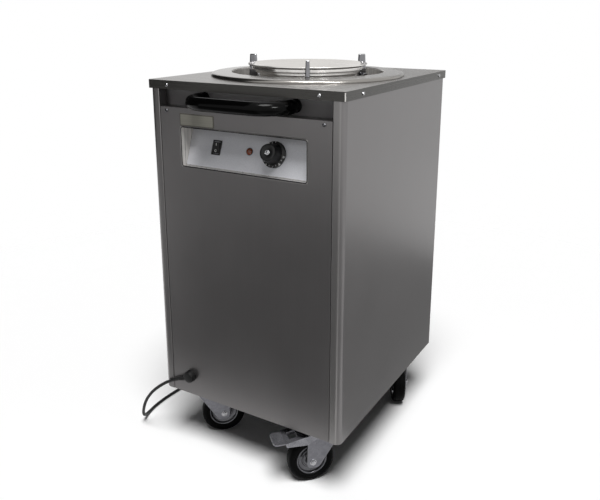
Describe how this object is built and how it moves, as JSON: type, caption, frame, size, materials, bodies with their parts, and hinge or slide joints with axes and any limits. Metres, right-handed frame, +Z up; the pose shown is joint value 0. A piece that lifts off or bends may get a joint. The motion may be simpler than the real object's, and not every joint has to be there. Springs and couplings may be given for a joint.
{
  "type": "plate dispenser trolley",
  "caption": "Heated plate dispenser: square steel cabinet on swivel casters, round spring-lift well with guide posts in its top, bow handle, sunk control panel, mains lead.",
  "frame": {"origin": "on the floor, in the middle of the box that the cabinet, its handle and casters take up", "axes": "+X to the right as seen from the control side, +Y to the back, +Z up; the controls face -Y"},
  "size_m": [0.5611, 0.7491, 0.868],
  "materials": {
    "worktop_steel": "satin brushed stainless sheet",
    "cabinet_steel": "satin brushed stainless sheet",
    "dark_rail": "dark satin paint",
    "handle_black": "smooth moulded black",
    "fascia_silver": "fine silver finish",
    "control_black": "moulded black",
    "knob_metal": "turned, polished",
    "lamp_lens": "clear orange-red lens",
    "inner_plastic": "moulded dark grey",
    "cord_rubber": "matt black sheath",
    "well_steel": "plain mill sheet",
    "carrier_steel": "satin pressed sheet",
    "spring_steel": "drawn wire",
    "post_chrome": "polished plating",
    "caster_zinc": "bright zinc plating",
    "wheel_chrome": "polished rim",
    "tyre_rubber": "moulded black rubber"
  },
  "bodies": {
    "cabinet": {"worktop": "worktop_steel", "left_side_panel": "cabinet_steel", "right_side_panel": "cabinet_steel", "front_panel": "cabinet_steel", "rear_panel": "cabinet_steel", "front_rail": "dark_rail", "base_pan": "dark_rail", "handle_bow": "handle_black", "control_fascia": "fascia_silver", "switch_housing": "control_black", "indicator_lamp": "lamp_lens", "thermostat_body": "inner_plastic", "terminal_box": "inner_plastic", "cord_gland": "cord_rubber", "cord_lead": "cord_rubber", "cord_coil": "cord_rubber", "cord_tail": "cord_rubber", "mains_plug": "cord_rubber", "well_flange": "worktop_steel", "well_tube": "well_steel", "well_floor": "well_steel", "heater_element": "well_steel", "spring_hangers": "well_steel", "lift_springs": "spring_steel", "guide_brackets": "well_steel", "caster_plates": "caster_zinc"},
    "carrier": {"carrier_dish": "carrier_steel", "carrier_spider": "well_steel", "carrier_glides": "inner_plastic"},
    "rocker": {"switch_rocker": "control_black"},
    "dial": {"knob": "control_black", "knob_cap": "knob_metal"},
    "post_1": {"guide_post_1": "post_chrome", "guide_screw_1": "post_chrome"},
    "post_2": {"guide_post_2": "post_chrome", "guide_screw_2": "post_chrome"},
    "post_3": {"guide_post_3": "post_chrome", "guide_screw_3": "post_chrome"},
    "caster_fl": {"fork_fl": "caster_zinc", "axle_fl": "caster_zinc"},
    "wheel_fl": {"wheel_hub_fl": "wheel_chrome", "tyre_fl": "tyre_rubber"},
    "pedal_fl": {"brake_pedal_fl": "caster_zinc"},
    "caster_fr": {"fork_fr": "caster_zinc", "axle_fr": "caster_zinc"},
    "wheel_fr": {"wheel_hub_fr": "wheel_chrome", "tyre_fr": "tyre_rubber"},
    "pedal_fr": {"brake_pedal_fr": "caster_zinc"},
    "caster_rl": {"fork_rl": "caster_zinc", "axle_rl": "caster_zinc"},
    "wheel_rl": {"wheel_hub_rl": "wheel_chrome", "tyre_rl": "tyre_rubber"},
    "caster_rr": {"fork_rr": "caster_zinc", "axle_rr": "caster_zinc"},
    "wheel_rr": {"wheel_hub_rr": "wheel_chrome", "tyre_rr": "tyre_rubber"}
  },
  "joints": [
    {"name": "carrier_lift", "type": "slide", "parent": "cabinet", "child": "carrier", "axis": [0, 0, 1], "range_m": [-0.395, 0], "stiffness_N_per_m": 900, "springref_m": 0.06, "deforming": ["lift_springs"]},
    {"name": "rocker_tilt", "type": "hinge", "parent": "cabinet", "child": "rocker", "pos_m": [-0.077, -0.20208, 0.696], "axis": [1, 0, 0], "range_deg": [-12, 0]},
    {"name": "dial_turn", "type": "hinge", "parent": "cabinet", "child": "dial", "pos_m": [0.06, -0.20208, 0.696], "axis": [0, 0.9397, -0.342], "range_deg": [0, 270]},
    {"name": "post_1_slide", "type": "slide", "parent": "cabinet", "child": "post_1", "axis": [-1, 0, 0], "range_m": [0, 0.01]},
    {"name": "post_2_slide", "type": "slide", "parent": "cabinet", "child": "post_2", "axis": [0.5, 0.866, 0], "range_m": [0, 0.01]},
    {"name": "post_3_slide", "type": "slide", "parent": "cabinet", "child": "post_3", "axis": [0.5, -0.866, 0], "range_m": [0, 0.01]},
    {"name": "caster_fl_swivel", "type": "hinge", "parent": "cabinet", "child": "caster_fl", "pos_m": [-0.157, -0.162, 0.128], "axis": [0, 0, 1], "continuous": true},
    {"name": "wheel_fl_spin", "type": "hinge", "parent": "caster_fl", "child": "wheel_fl", "pos_m": [-0.13099, -0.13858, 0.05], "axis": [0.6691, -0.7431, 0], "continuous": true},
    {"name": "pedal_fl_press", "type": "hinge", "parent": "caster_fl", "child": "pedal_fl", "pos_m": [-0.13471, -0.14193, 0.1127], "axis": [0.6691, -0.7431, 0], "range_deg": [-6.5, 0]},
    {"name": "caster_fr_swivel", "type": "hinge", "parent": "cabinet", "child": "caster_fr", "pos_m": [0.157, -0.162, 0.128], "axis": [0, 0, 1], "continuous": true},
    {"name": "wheel_fr_spin", "type": "hinge", "parent": "caster_fr", "child": "wheel_fr", "pos_m": [0.13358, -0.18801, 0.05], "axis": [-0.7431, 0.6691, 0], "continuous": true},
    {"name": "pedal_fr_press", "type": "hinge", "parent": "caster_fr", "child": "pedal_fr", "pos_m": [0.13693, -0.18429, 0.1127], "axis": [-0.7431, 0.6691, 0], "range_deg": [-6.5, 0]},
    {"name": "caster_rl_swivel", "type": "hinge", "parent": "cabinet", "child": "caster_rl", "pos_m": [-0.157, 0.218, 0.128], "axis": [0, 0, 1], "continuous": true},
    {"name": "wheel_rl_spin", "type": "hinge", "parent": "caster_rl", "child": "wheel_rl", "pos_m": [-0.16606, 0.18419, 0.05], "axis": [-0.9659, 0.2588, 0], "continuous": true},
    {"name": "caster_rr_swivel", "type": "hinge", "parent": "cabinet", "child": "caster_rr", "pos_m": [0.157, 0.218, 0.128], "axis": [0, 0, 1], "continuous": true},
    {"name": "wheel_rr_spin", "type": "hinge", "parent": "caster_rr", "child": "wheel_rr", "pos_m": [0.1745, 0.18769, 0.05], "axis": [-0.866, -0.5, 0], "continuous": true}
  ]
}
